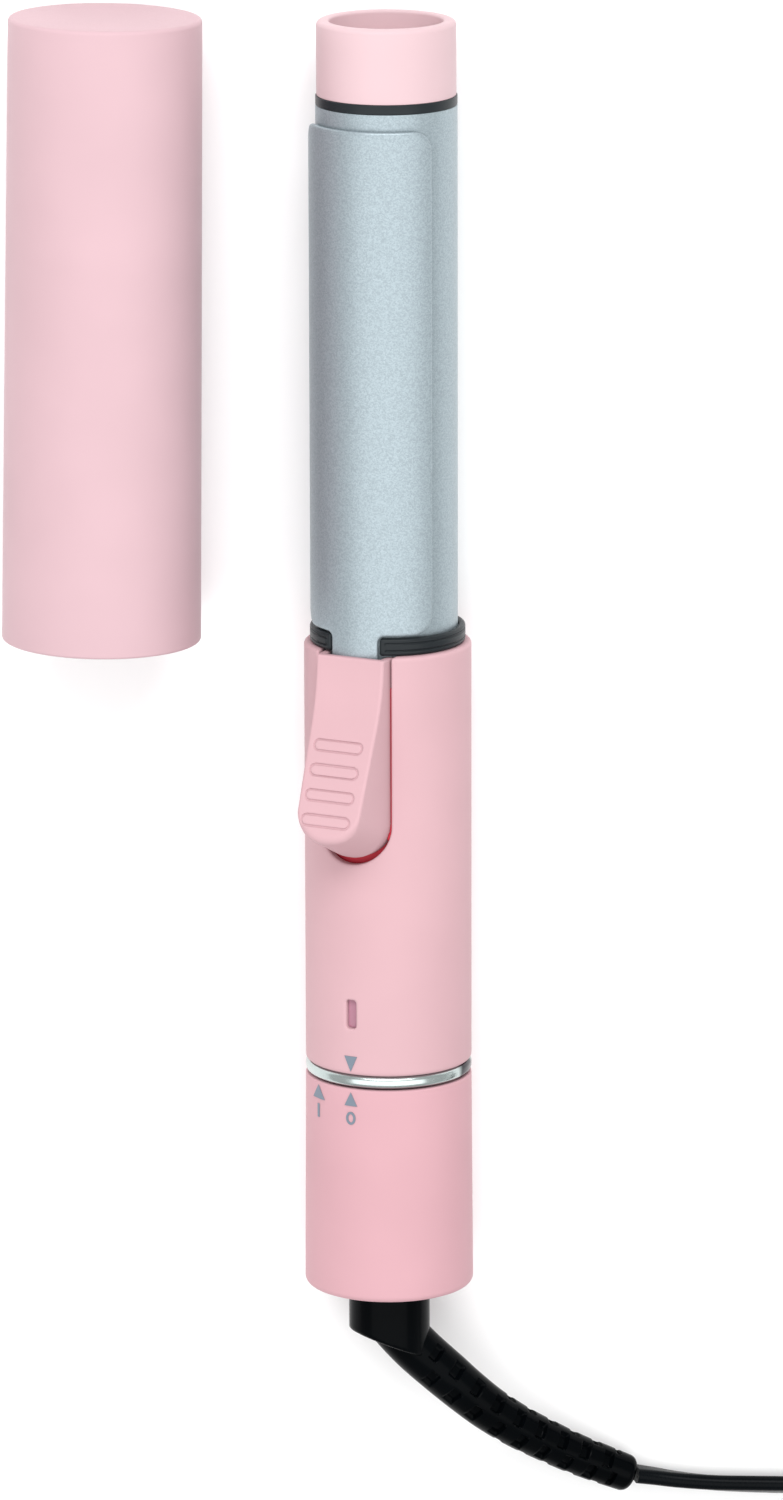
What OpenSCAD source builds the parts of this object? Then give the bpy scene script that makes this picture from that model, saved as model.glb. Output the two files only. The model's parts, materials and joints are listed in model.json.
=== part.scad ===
// Travel curling iron with a spring clamp, a twist switch, a swivel cord and a separate barrel cover.
// The iron lies along +Y with its tip at +Y; the cover lies beside it at -X; +Z is up.

/* [Barrel] */
// Radius of the heated barrel tube
barrel_r = 13.0; // [12.5:0.1:13.0]
// Wall of the barrel tube
barrel_wall = 1.0; // [0.8:0.1:1.0]
// Height of the barrel tube's end above the sleeve's bottom face
barrel_end = 224.0; // [222:0.5:226]
// Width of the black insulating band
band_w = 1.8; // [1.2:0.1:2.4]
// Length of the cool tip beyond the band
tip_len = 13.7; // [11:0.1:16]
// Depth of the hollow in the cool tip
tip_recess = 8.0; // [6:0.5:9]

/* [Clamp] */
// Radial gap between the barrel and the clamp spoon
spoon_gap = 0.3; // [0.25:0.05:0.4]
// Sheet thickness of the spoon
spoon_t = 1.0; // [0.8:0.1:1.0]
// Half of the angle that the spoon wraps round the barrel
spoon_half_angle = 63; // [60:1:74]
// Half of the angle of the narrow tongue that enters the handle
tongue_half_angle = 19.5; // [18:0.5:21]
// Lower end of the wide part of the spoon
spoon_low = 127.4; // [127.4:0.1:130]
// Upper end of the spoon
spoon_high = 221.0; // [215:0.5:222]
// Radius of the spoon's corners
spoon_corner = 4.0; // [3:0.5:5]

/* [Handle] */
// Outer radius of the handle
handle_r = 15.5; // [15.3:0.1:15.8]
// Wall of the handle shell
handle_wall = 1.8; // [1.6:0.1:1.8]
// Lower end of the handle, at the chrome ring
handle_low = 43.8; // [43.5:0.1:44.5]
// Upper end of the handle
handle_high = 123.7; // [123.4:0.1:124]
// Angle that the front of the iron is turned away from straight up
front_turn = 27; // [20:1:35]
// Half width of the slot that the thumb lever sits in
slot_half_w = 7.75; // [7.75:0.05:8]

/* [Thumb lever] */
// Half width of the lever at its base
lever_half_w = 7.15; // [7:0.05:7.3]
// Half width of the lever at its highest point
lever_top_half_w = 6.45; // [6.2:0.05:6.8]
// Wall of the lever shell
lever_wall = 1.4; // [1.2:0.1:1.5]
// Number of finger grooves across the lever
groove_count = 4; // [3:1:4]
// Distance between the grooves
groove_pitch = 4.33; // [4.2:0.01:4.5]

/* [Twist sleeve] */
// Outer radius of the sleeve at the chrome ring
sleeve_r_top = 15.5; // [15.3:0.1:15.8]
// Outer radius of the sleeve at its bottom face
sleeve_r_low = 15.8; // [15.6:0.1:16.2]
// Upper end of the twist sleeve
sleeve_high = 41.1; // [40.8:0.1:41.4]
// Turn from off to on
twist_turn = 30; // [25:1:30]

/* [Cover] */
// Length of the barrel cover
cover_len = 118.0; // [117:0.5:120]
// Outer radius at the open end
cover_r_open = 18.4; // [18.2:0.1:18.8]
// Outer radius at the closed end
cover_r_closed = 17.7; // [17.4:0.1:18]
// Wall of the cover
cover_wall = 1.8; // [1.4:0.1:2]
// Distance from the iron's axis to the cover's axis at the open end
cover_off_open = 52.9; // [48:0.1:60]
// Distance from the iron's axis to the cover's axis at the closed end
cover_off_closed = 51.1; // [48:0.1:60]

/* [Cord] */
// Width of the flat twin cord
cord_d = 5.2; // [5:0.1:5.4]
// Mean radius of the wound coil
coil_r = 27; // [26:0.5:28]
// Width of the wound bundle across its turns
coil_w = 16.6; // [16:0.1:17]
// Height of the wound bundle
coil_h = 10.6; // [10:0.1:11]

/* [Hidden] */
$fn = 96;

small = 0.05;                       // assembly gap between fixed pieces
handle_in = handle_r - handle_wall;
barrel_in = barrel_r - barrel_wall;
barrel_low = 117;                   // lower end of the tube, inside the handle
band_high = barrel_end + band_w;
tip_high = band_high + tip_len;
tip_r = barrel_r - 0.2;
collar_high = 127.0;
collar_r = 14.4;
collar_half_gap = tongue_half_angle + 2;
spoon_in = barrel_r + spoon_gap;
spoon_out = spoon_in + spoon_t;
tongue_low = 104.8;

cover_open_s = 122.4;
cover_yaw = asin((cover_off_open - cover_off_closed) / cover_len);
cover_pitch = asin((cover_r_open - cover_r_closed) / cover_len);
cover_top_s = cover_open_s + cover_len + cover_r_closed * sin(cover_yaw);

// The origin is under the middle of the iron and its cover, on the surface they lie on.
iron_x = (cover_off_open + cover_r_open - sleeve_r_low) / 2;
iron_y = -cover_top_s / 2;
axis_z = sleeve_r_low;

// Hinge of the clamp
pivot_s = 112;
pivot_rho = 8.5;
pin_r = 1.5;

// Lever: the face leaves the handle level and ramps straight up to a round end that leans back.
lever_high = handle_high - 0.3;
ramp_s = 110.7;                     // where the curved start becomes the straight ramp
ramp_rise = 2.67;                   // rise of the curved start
ramp_slope = 0.411;
ramp_angle = atan(ramp_slope);
function face_rho(s) = s > ramp_s
  ? handle_r + ramp_rise * pow((handle_high - s) / (handle_high - ramp_s), 2)
  : handle_r + ramp_rise + ramp_slope * (ramp_s - s);
lever_under = 11;                   // lower edge of the side walls, inside the handle
lever_base_rho = 13;
end_s = 85.6;                       // the round end where it leaves the handle's surface
end_lean = 23.5;
end_rho = 26.4;                     // height of the end's upper edge
function lever_w(rho) = lever_half_w
  - (lever_half_w - lever_top_half_w) * (rho - lever_base_rho) / (end_rho - lever_base_rho);
function end_axis_s(rho) = end_s + lever_w(handle_r) / cos(end_lean)
  + (rho - handle_r) * tan(end_lean);
slot_round_s = 92.0;

// Grooves across the lever: half length between round ends, end radius and depth
groove = [3.9, 1.0, 0.5];
groove_first_s = 94.4;
groove_x = -0.4;

// Rivets that hold the spoon's tongue in the lever
rivet_x = 2.9;
rivet_s = 107;
rivet_r = 0.9;

// Spring under the lever
spring_s = 97;
spring_rho = [2.5, 19.2];
spring_r = 3.5;
spring_wire = 0.4;
spring_turns = 7;

// Inner frame and electrical pieces
tray_half_w = 11;
tray_t = 1.0;                       // half of the tray's thickness
neck_r = 9.55;
neck_low = 2.7;
neck_high = 26;
neck_bore = 6.05;
chamber_r = 8.0;
bulkhead_low = 101;
bulkhead_high = 104;
board_rho = [1.6, 3.2];
board_s = [30, 80];
board_half_w = 10;
board_screw_at = [for (x = [-8, 8], s = [51, 76]) [x, s]];
lead_at = [7.5, 2.8];               // side distance and height of the heater leads
lead_r = 0.9;
window_s = [52.7, 58.2];
window_w = 2.0;

// Switch: the sleeve's fork carries the knob sideways.
switch_s = 36;
fork_r = 10.1;                      // where the fork meets the knob
fork_in = 9.1;
fork_gap = 2.7;
knob_x = -fork_r * tan(twist_turn / 2);

// Swivel
gland_r = 7.6;
gland_top = 2.3;
slip_s = [15.5, 19.5];
slip_w = 1.5;

// Route of the strain relief and of the cord, from the iron's axis, at the height of the floor.
relief_route = [
  [0.44, -6.62, 15.8], [1.2, -8.6, 15.8], [5.5, -13.5, 15.7], [11.2, -19.0, 14.9],
  [15.3, -22.9, 14.0], [19.4, -26.5, 12.9], [24.5, -30.4, 11.0], [29.7, -33.8, 8.9],
  [35.2, -37.1, 6.9], [40.5, -39.8, 5.2], [46.3, -42.5, 3.8]
];
relief_radii = [4.6, 4.6, 4.55, 4.4, 4.2, 4.05, 3.9, 3.75, 3.6, 3.45, 3.2];
coil_at = [123.5, -12];
tie_angle = 110;                    // where the strap goes round the coil
lead_route = [
  [46.95, -42.7, 3.6], [50.5, -43.4, 2.95], [55, -44.2, 2.65], [62, -44.9, 2.6], [70, -45.2, 2.6],
  [80, -45.4, 2.6], [92, -45.6, 2.6], [106, -45.7, 2.6], [118, -45.7, 2.6]
];
tail_route = [
  [157.2, -8, 7.8], [156.6, 0, 7.0], [155, 8, 5.6], [152.6, 16, 4.1], [149.8, 24, 3.0],
  [147, 32, 2.7], [144.9, 40, 3.3], [143.8, 48, 4.9], [143.5, 55, 6.3], [143.5, 60, 6.8]
];
plug_x = 143.5;
plug_rear = 60;
plug_relief = 20;
plug_len = 35;
plug_w = 35.3;
plug_t = 13.6;
pin_spacing = 18.6;
plug_pin_r = 2.0;
plug_pin_len = 19;
plug_pin_stem = [1.7, 11];           // radius and length of the part inside the plug

// Places its children on the iron: +Z of the child runs to the tip and -Y is the front.
module on_iron() {
  translate([iron_x, iron_y, axis_z]) rotate([-90, 0, 0]) rotate([0, 0, -front_turn]) children();
}

// Places its children on the floor, measured from the iron's axis and the sleeve's bottom.
module on_floor() {
  translate([iron_x, iron_y, 0]) children();
}

module ring(r_out, r_in, s0, s1) {
  translate([0, 0, s0]) difference() {
    cylinder(r = r_out, h = s1 - s0);
    translate([0, 0, -1]) cylinder(r = r_in, h = s1 - s0 + 2);
  }
}

// A box on the iron by side distance, height towards the front and distance along the axis.
module bar(x0, x1, rho0, rho1, s0, s1) {
  translate([x0, -rho1, s0]) cube([x1 - x0, rho1 - rho0, s1 - s0]);
}

// A peg that points to the front.
module peg(x, s, r, rho0, rho1) {
  translate([x, -rho0, s]) rotate([90, 0, 0]) cylinder(r = r, h = rho1 - rho0);
}

// A rod across the iron.
module cross_rod(s, rho, r, x0, x1) {
  translate([x0, -rho, s]) rotate([0, 90, 0]) cylinder(r = r, h = x1 - x0);
}

// A rod along the iron.
module along_rod(x, rho, r, s0, s1) {
  translate([x, -rho, s0]) cylinder(r = r, h = s1 - s0);
}

// Extrudes an outline drawn as side distance and distance along the axis.
module plan_extrude(rho0, rho1) {
  rotate([90, 0, 0]) translate([0, 0, rho0]) linear_extrude(rho1 - rho0) children();
}

// Extrudes an outline drawn as distance along the axis and height, across the iron.
module side_extrude(w) {
  rotate([180, -90, 0]) translate([0, 0, -w / 2]) linear_extrude(w) children();
}

// A wall of a tube over an angle either side of the front.
module front_wall(r_out, r_in, s0, s1, half) {
  rotate([0, 0, -90 - half]) rotate_extrude(angle = 2 * half)
    translate([r_in, s0]) square([r_out - r_in, s1 - s0]);
}

// Sweeps a tube of changing radius along points.
function unit(v) = v / norm(v);
function way(p, i) = unit(p[min(i + 1, len(p) - 1)] - p[max(i - 1, 0)]);
function side_of(t) = unit(cross([0, 0, 1], t));
module sweep(p, r, sides) {
  n = len(p);
  pts = [for (i = [0 : n - 1]) let (t = way(p, i), u = side_of(t), v = cross(t, u))
    for (k = [0 : sides - 1]) p[i] + r[i] * (cos(360 * k / sides) * u + sin(360 * k / sides) * v)];
  walls = [for (i = [0 : n - 2], k = [0 : sides - 1]) let (m = (k + 1) % sides)
    [(i + 1) * sides + k, (i + 1) * sides + m, i * sides + m, i * sides + k]];
  low = [for (k = [0 : sides - 1]) k];
  high = [for (k = [sides - 1 : -1 : 0]) (n - 1) * sides + k];
  polyhedron(points = pts, faces = concat([low], walls, [high]));
}
function same(r, p) = [for (q = p) r];

// ---- casing ----
module handle_shell() {
  edge = 0.7;
  lip = 2.4;
  color([0.94, 0.77, 0.80]) on_iron() difference() {
    rotate_extrude() difference() {
      union() {
        translate([0, handle_low]) square([handle_r, handle_high - handle_low - edge]);
        translate([0, handle_low]) square([handle_r - edge, handle_high - handle_low]);
        translate([handle_r - edge, handle_high - edge]) circle(r = edge, $fn = 32);
      }
      translate([-1, handle_low - 1]) square([handle_in + 1, handle_high - lip - handle_low + 1]);
      translate([-1, handle_low]) square([barrel_r + small + 1, handle_high]);
    }
    plan_extrude(0, handle_r + 5) {
      translate([0, slot_round_s]) circle(r = slot_half_w);
      translate([-slot_half_w, slot_round_s]) square([2 * slot_half_w, handle_high]);
    }
    plan_extrude(0, handle_r + 5) window_outline(0);
  }
}

module window_outline(shrink) {
  r = window_w / 4;
  x = window_w / 2 - shrink;
  y0 = window_s[0] + shrink;
  y1 = window_s[1] - shrink;
  translate([-x + r, y0]) square([2 * (x - r), y1 - y0]);
  translate([-x, y0 + r]) square([2 * x, y1 - y0 - 2 * r]);
  for (sx = [-1, 1], y = [y0 + r, y1 - r]) translate([sx * (x - r), y]) circle(r = r, $fn = 24);
}

module indicator_lens() {
  flange = 1.2;
  color([0.62, 0.40, 0.52]) on_iron() {
    plan_extrude(10.5, handle_r - 1) window_outline(small);
    bar(-window_w / 2 - flange, window_w / 2 + flange, 12.2, 13.2,
        window_s[0] - flange, window_s[1] + flange);
  }
}

// A printed mark: the outline as a thin skin on the casing.
module mark_skin(r) {
  skin = 0.1;
  intersection() {
    plan_extrude(10, handle_r + 3) children();
    ring(r + small + skin, r + small, 30, 50);
  }
}

module pointer_mark() {
  color([0.50, 0.55, 0.62]) on_iron()
    mark_skin(handle_r) polygon([[-1.3, 47.45], [1.3, 47.45], [0, 44.5]]);
}

module chrome_ring() {
  color([0.85, 0.86, 0.88]) on_iron()
    ring(handle_r, handle_in, sleeve_high + 0.3, handle_low - small);
}

module heat_collar() {
  color([0.10, 0.13, 0.15]) on_iron()
    rotate([0, 0, -90 + collar_half_gap]) rotate_extrude(angle = 360 - 2 * collar_half_gap)
      translate([barrel_r + small, handle_high + small])
        square([collar_r - barrel_r - small, collar_high - handle_high - small]);
}

// ---- heated barrel ----
module barrel_tube() {
  color([0.72, 0.79, 0.82]) on_iron() ring(barrel_r, barrel_in, barrel_low, barrel_end);
}

module insulating_band() {
  color([0.08, 0.09, 0.10]) on_iron() ring(barrel_r, barrel_in, barrel_end, band_high);
}

module tip_cap() {
  spigot = 11;
  web = 2;
  edge = 0.9;
  rim = 2.4;
  color([0.97, 0.86, 0.88]) on_iron() rotate_extrude() difference() {
    union() {
      translate([0, band_high]) square([tip_r, tip_len - edge]);
      translate([0, band_high]) square([tip_r - edge, tip_len]);
      translate([tip_r - edge, tip_high - edge]) circle(r = edge, $fn = 32);
      translate([0, barrel_end - spigot]) square([barrel_in - small, spigot + band_w]);
    }
    translate([-1, tip_high - tip_recess]) square([tip_r - rim + 1, tip_recess + 1]);
    translate([-1, barrel_end - spigot - 1])
      square([barrel_in - web + 1, spigot + 1 + tip_high - tip_recess - web - barrel_end]);
  }
}

module barrel_holder() {
  body_r = 12.9;
  spigot_r = barrel_in - small;
  spigot_high = 127;
  ear = [5.5, 7.7];
  boss_r = 11.4;
  color([0.30, 0.30, 0.32]) on_iron() difference() {
    union() {
      along_rod(0, 0, body_r, bulkhead_high + small, barrel_low - small);
      ring(spigot_r, spigot_r - 1.9, barrel_low - 1, spigot_high);
    }
    for (side = [0, 1]) mirror([side, 0, 0]) {
      bar(ear[0], ear[1], 4.8, 20, bulkhead_high - 1, barrel_low + 1);
      along_rod(lead_at[0], lead_at[1], lead_r + 0.1, 90, 140);
      along_rod(8, -6, 0.9, 90, 112);
    }
    difference() {
      bar(-ear[0], ear[0], 4.8, 20, bulkhead_high, barrel_low - 1);
      along_rod(0, 0, boss_r, bulkhead_high, barrel_low);
    }
    bar(-ear[0] - 1, ear[0] + 1, 4.8, 20, bulkhead_high - 1, 109.4);
    cross_rod(pivot_s, pivot_rho, pin_r + 0.02, -ear[0] - 1, ear[0] + 1);
  }
}

module hinge_pin() {
  color([0.78, 0.78, 0.80]) on_iron() cross_rod(pivot_s, pivot_rho, pin_r, -7.4, 7.4);
}

module heat_spreaders() {
  half_gap = 2.2;
  color([0.80, 0.80, 0.82]) on_iron() difference() {
    along_rod(0, 0, barrel_in - 0.2, 130, 212);
    bar(-20, 20, -half_gap, half_gap, 129, 213);
  }
}

module ptc_heater() {
  color([0.78, 0.66, 0.42]) on_iron() bar(-9, 9, -2.15, 2.15, 132, 205);
}

module heater_leads() {
  color([0.85, 0.80, 0.70]) on_iron() {
    along_rod(-lead_at[0], lead_at[1], lead_r, board_s[1] + small, 129.8);
    along_rod(lead_at[0], lead_at[1], lead_r, board_s[1] + small, 118.4);
    along_rod(lead_at[0], lead_at[1], lead_r, 126.6, 129.8);
  }
}

module thermal_fuse() {
  color([0.75, 0.75, 0.78]) on_iron() along_rod(lead_at[0], lead_at[1], 1.6, 118.5, 126.5);
}

// ---- inner frame ----
module chassis() {
  color([0.88, 0.88, 0.86]) on_iron() difference() {
    union() {
      along_rod(0, 0, neck_r, neck_low, neck_high);
      ring(11.5, neck_r - 1, 21.4, 23);
      bar(-tray_half_w, tray_half_w, -tray_t, tray_t, neck_high - 0.5, bulkhead_high);
      ring(handle_in - small, 11.4, sleeve_high + 0.4, 48);
      bar(-12, 12, -tray_t, tray_t, sleeve_high + 0.4, 48);
      intersection() {
        along_rod(0, 0, handle_in - small, bulkhead_low, bulkhead_high);
        bar(-20, 20, -20, 7, bulkhead_low, bulkhead_high);
      }
      peg(0, spring_s, 4.8, 0, spring_rho[0] - small);
      peg(0, spring_s, 2.4, 0, spring_rho[0] + 3);
      for (at = board_screw_at) peg(at[0], at[1], 1.6, 0, board_rho[0] - small);
    }
    along_rod(0, 0, neck_bore, 0, 13);
    along_rod(0, 0, chamber_r, 12, 24);
    for (at = board_screw_at) peg(at[0], at[1], 0.8, -3, board_rho[0] + 1);
    for (side = [-1, 1]) {
      along_rod(side * lead_at[0], lead_at[1], lead_r + 0.1, 95, 110);
      along_rod(side * 8, -6, 1.1, 95, 110);
    }
  }
}

module chassis_screws() {
  color([0.70, 0.70, 0.72]) on_iron() for (side = [-1, 1]) {
    along_rod(side * 8, -6, 0.85, bulkhead_low - 0.5, 111);
    along_rod(side * 8, -6, 2.0, bulkhead_low - 1.6, bulkhead_low - small);
  }
}

module circuit_board() {
  color([0.16, 0.42, 0.26]) on_iron() difference() {
    bar(-board_half_w, board_half_w, board_rho[0], board_rho[1], board_s[0], board_s[1]);
    for (at = board_screw_at) peg(at[0], at[1], 0.9, 0, 5);
  }
}

module board_screws() {
  color([0.72, 0.72, 0.74]) on_iron() for (at = board_screw_at) {
    peg(at[0], at[1], 0.75, -0.5, board_rho[1] + 0.3);
    peg(at[0], at[1], 1.5, board_rho[1] + small, board_rho[1] + 1);
  }
}

module board_components() {
  top = board_rho[1] + small;
  color([0.82, 0.70, 0.52]) on_iron() {
    for (s = [62, 66]) cross_rod(s, top + 1.2, 1.15, -3.5, 3.5);
    bar(-6, 6, top, top + 4.5, 69, 73);
    peg(5.5, 57, 2.2, top, top + 5);
  }
}

module indicator_led() {
  top = board_rho[1] + small;
  s = (window_s[0] + window_s[1]) / 2;
  color([0.85, 0.25, 0.22]) on_iron() {
    peg(0, s, 1.5, top, top + 4);
    translate([0, -top - 4, s]) sphere(r = 1.5);
    peg(0, s, 1.9, top, top + 0.8);
  }
}

module switch_housing() {
  top = board_rho[1] + small;
  color([0.12, 0.12, 0.13]) on_iron() difference() {
    bar(-6, 6, top, 6.4, switch_s - 4, switch_s + 4);
    bar(-5.2, 5.2, 4.0, 5.6, switch_s - 3, switch_s + 3);
    bar(-4.0, 4.0, 5, 7, switch_s - 1.3, switch_s + 1.3);
  }
}

module contact_brushes() {
  color([0.80, 0.62, 0.30]) on_iron() for (s = slip_s)
    bar(-1, 1, -7.8, -4.6, s, s + slip_w);
}

module retaining_ring() {
  color([0.68, 0.70, 0.72]) on_iron() ring(11.6, neck_r + 0.03, 16.6, 17.7);
}

// ---- clamp ----
module clamp_spoon() {
  corner_half = spoon_half_angle - spoon_corner / spoon_out * 180 / PI;
  color([0.74, 0.81, 0.84]) on_iron() difference() {
    front_wall(spoon_out, spoon_in, tongue_low, spoon_high, spoon_half_angle);
    for (side = [0, 1]) mirror([side, 0, 0]) {
      rotate([0, 0, -90 + tongue_half_angle]) rotate_extrude(angle = 60)
        translate([spoon_in - 2, tongue_low - 1]) square([5, spoon_low - tongue_low + 1]);
      rotate([0, 0, corner_half]) {
        corner_cut(spoon_high - spoon_corner, 0);
        corner_cut(spoon_low + spoon_corner, spoon_corner + 1);
      }
    }
    for (x = [-rivet_x, rivet_x]) peg(x, rivet_s, rivet_r + small, 10, 16);
  }
}

// What is cut off a corner whose round has its centre at s.
module corner_cut(s, below) {
  past_tangent = 0.03;
  difference() {
    bar(0, 8, 10, 20, s - below, s - below + spoon_corner + 1);
    peg(0, s, spoon_corner + past_tangent, 9, 21);
  }
}

function lever_outline(inset) =
  let (upper_s = lever_high + (inset > 0 ? 2 : 0), lower_s = end_s + inset)
  concat(
    [[upper_s, lever_under + 1], [upper_s, handle_r - inset]],
    [for (s = [lever_high : -1.5 : ramp_s]) [s, face_rho(s) - inset]],
    [[lower_s, face_rho(lower_s) - inset], [lower_s, lever_under]],
    [[113, lever_under], [114, lever_under + 1]]
  );

// The lever's sides with draft, joined to the leaning round end.
module lever_block(inset) {
  past_tangent = 0.03;
  low = 5;
  high = end_rho + 4;
  w = [lever_w(low) - inset, lever_w(high) - inset];
  side = w + [past_tangent, past_tangent];
  translate([0, -low, end_axis_s(low)]) rotate([90 - end_lean, 0, 0])
    cylinder(r1 = w[0], r2 = w[1], h = (high - low) / cos(end_lean));
  intersection() {
    linear_extrude(lever_high + 2)
      polygon([[-side[0], -low], [-side[1], -high], [side[1], -high], [side[0], -low]]);
    side_extrude(30) polygon([[end_axis_s(low), low], [end_axis_s(high), high],
                              [lever_high + 3, high], [lever_high + 3, low]]);
  }
}

module lever_shell() {
  difference() {
    intersection() {
      side_extrude(30) polygon(lever_outline(0));
      lever_block(0);
    }
    intersection() {
      union() {
        side_extrude(30) polygon(lever_outline(lever_wall));
        bar(-20, 20, 0, 13, end_s + lever_wall, lever_high + 2);
      }
      lever_block(lever_wall);
    }
  }
}

module thumb_lever() {
  ear = [5.9, 7.3];
  color([0.94, 0.77, 0.80]) on_iron() difference() {
    union() {
      lever_shell();
      intersection() {
        union() {
          peg(0, spring_s, 4.6, spring_rho[1] + small, 32);
          peg(0, spring_s, 2.3, spring_rho[1] - 2.5, 32);
          for (x = [-rivet_x, rivet_x]) peg(x, rivet_s, 1.9, 12, 30);
        }
        side_extrude(30) polygon(lever_outline(0));
      }
      for (side = [0, 1]) mirror([side, 0, 0]) {
        cross_rod(pivot_s, pivot_rho, 3.2, ear[0], ear[1]);
        bar(ear[0], ear[1], pivot_rho, 13.5, pivot_s - 3.2, pivot_s + 3.2);
      }
    }
    cross_rod(pivot_s, pivot_rho, pin_r + small, -10, 10);
    intersection() {
      along_rod(0, 0, spoon_out + 0.1, 100, 130);
      bar(0.3 - ear[0], ear[0] - 0.3, 10, 16, 100, 130);
    }
    for (x = [-rivet_x, rivet_x]) peg(x, rivet_s, rivet_r + small, 10, 17);
    for (i = [0 : groove_count - 1]) {
      s = groove_first_s + groove_pitch * i;
      translate([groove_x, -face_rho(s), s]) rotate([90 - ramp_angle, 0, 0])
        translate([0, 0, -groove[2]]) {
          for (x = [-1, 1]) translate([x * groove[0], 0, 0]) cylinder(r = groove[1], h = 3);
          translate([-groove[0], -groove[1], 0]) cube([2 * groove[0], 2 * groove[1], 3]);
        }
    }
  }
}

module clamp_rivets() {
  color([0.75, 0.76, 0.78]) on_iron() for (x = [-rivet_x, rivet_x]) {
    peg(x, rivet_s, rivet_r, 12.2, 16.8);
    peg(x, rivet_s, 1.5, 11.7, 12.3);
  }
}

// A round coil of wire between the inner frame and the lever.
module lever_spring() {
  steps = spring_turns * 14;
  rise = spring_rho[1] - spring_rho[0] - 2 * spring_wire;
  pts = [for (i = [0 : steps])
    [spring_r * cos(360 * i * spring_turns / steps), spring_r * sin(360 * i * spring_turns / steps),
     spring_rho[0] + spring_wire + rise * i / steps]];
  color([0.70, 0.72, 0.74]) on_iron() translate([0, 0, spring_s]) rotate([90, 0, 0])
    sweep(pts, same(spring_wire, pts), 6);
}

// ---- twist switch ----
module twist_sleeve() {
  wall = 1.7;
  floor_t = 2;
  fillet = 1.2;
  web = [18, 21];
  color([0.94, 0.76, 0.80]) on_iron() {
    rotate_extrude() difference() {
      union() {
        polygon([[0, fillet], [sleeve_r_low, fillet], [sleeve_r_top, sleeve_high], [0, sleeve_high]]);
        square([sleeve_r_low - fillet, fillet + 1]);
        translate([sleeve_r_low - fillet, fillet]) circle(r = fillet, $fn = 32);
      }
      translate([-1, floor_t]) square([sleeve_r_top - wall + 1, web[0] - floor_t]);
      translate([-1, web[1]]) square([sleeve_r_top - wall + 1, sleeve_high]);
      translate([-1, web[0] - 1]) square([neck_r + small + 1, web[1] - web[0] + 2]);
      translate([-1, -1]) square([gland_r + 0.4 + 1, floor_t + 2]);
    }
    rotate([0, 0, -twist_turn / 2]) difference() {
      bar(-fork_gap / 2 - 1.4, fork_gap / 2 + 1.4, fork_in, sleeve_r_top - wall + 0.2,
          switch_s - 2.5, switch_s + 2.5);
      bar(-fork_gap / 2, fork_gap / 2, fork_in - 1, sleeve_r_top - wall - 1.2,
          switch_s - 3, switch_s + 3);
    }
  }
}

// Off and on marks, each under its triangle.
module sleeve_marks() {
  r_here = sleeve_r_low + (sleeve_r_top - sleeve_r_low) * 37 / sleeve_high;
  zero = [0.97, 1.25];              // half sizes of the off mark
  stroke = 0.45;
  color([0.50, 0.55, 0.62]) on_iron() {
    mark_skin(r_here) {
      pointer_up(1.3);
      translate([0, 35.5]) difference() {
        scale(zero) circle(r = 1);
        scale([zero[0] - stroke, zero[1] - stroke]) circle(r = 1);
      }
    }
    rotate([0, 0, -twist_turn]) mark_skin(r_here) {
      pointer_up(1.9);
      translate([-0.3, 34.3]) square([0.6, 2.6]);
    }
  }
}

module pointer_up(half_w) {
  polygon([[-half_w, 37.9], [half_w, 37.9], [0, 40.5]]);
}

module switch_slider() {
  color([0.90, 0.90, 0.90]) on_iron() translate([knob_x, 0, 0]) {
    bar(-2.2, 2.2, 4.1, 5.5, switch_s - 2.8, switch_s + 2.8);
    bar(-1, 1, 5, 11, switch_s - 1, switch_s + 1);
  }
}

// ---- swivel cord outlet ----
module swivel_gland() {
  cut_angle = 21;
  cut_s = -9.6;                     // where the slanted end meets the far side
  color([0.05, 0.05, 0.06]) on_iron() difference() {
    along_rod(0, 0, gland_r, -18, gland_top);
    along_rod(0, 0, 6.05, 0.5, gland_top + 1);
    rotate([0, 0, front_turn]) translate([-gland_r, 0, cut_s]) rotate([0, cut_angle, 0])
      translate([-10, -20, -20]) cube([40, 40, 20]);
  }
}

module swivel_spindle() {
  color([0.20, 0.20, 0.21]) on_iron() {
    along_rod(0, 0, 6.0, 0.6, 12.3);
    along_rod(0, 0, 7.4, 12.2, 13.6);
    along_rod(0, 0, 3.0, 13.5, 23);
  }
}

module slip_rings() {
  color([0.84, 0.66, 0.32]) on_iron() for (s = slip_s) ring(4.5, 3.05, s, s + slip_w);
}

module strain_relief() {
  color([0.06, 0.06, 0.07]) on_floor() sweep(relief_route, relief_radii, 16);
}

// ---- cord, put away beside the iron ----
module cord_lead() {
  color([0.05, 0.05, 0.06]) on_floor() sweep(lead_route, same(cord_d / 2, lead_route), 10);
}

module cord_coil() {
  round = 2;
  x0 = coil_r - coil_w / 2;
  color([0.06, 0.06, 0.07]) on_floor() translate([coil_at[0], coil_at[1], 0]) rotate_extrude() {
    translate([x0 + round, 0]) square([coil_w - 2 * round, coil_h]);
    translate([x0, round]) square([coil_w, coil_h - 2 * round]);
    for (x = [x0 + round, x0 + coil_w - round], y = [round, coil_h - round])
      translate([x, y]) circle(r = round, $fn = 24);
  }
}

module cord_tie() {
  t = 0.8;
  w = 8;
  color([0.15, 0.15, 0.16]) on_floor() translate([coil_at[0], coil_at[1], 0]) rotate([0, 0, tie_angle])
    translate([coil_r, 0, 0]) difference() {
      translate([-coil_w / 2 - t, -w / 2, 0]) cube([coil_w + 2 * t, w, coil_h + t]);
      translate([-coil_w / 2, -w / 2 - 1, t]) cube([coil_w, w + 2, coil_h - t]);
    }
}

module cord_tail() {
  color([0.05, 0.05, 0.06]) on_floor() sweep(tail_route, same(cord_d / 2, tail_route), 10);
}

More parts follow.
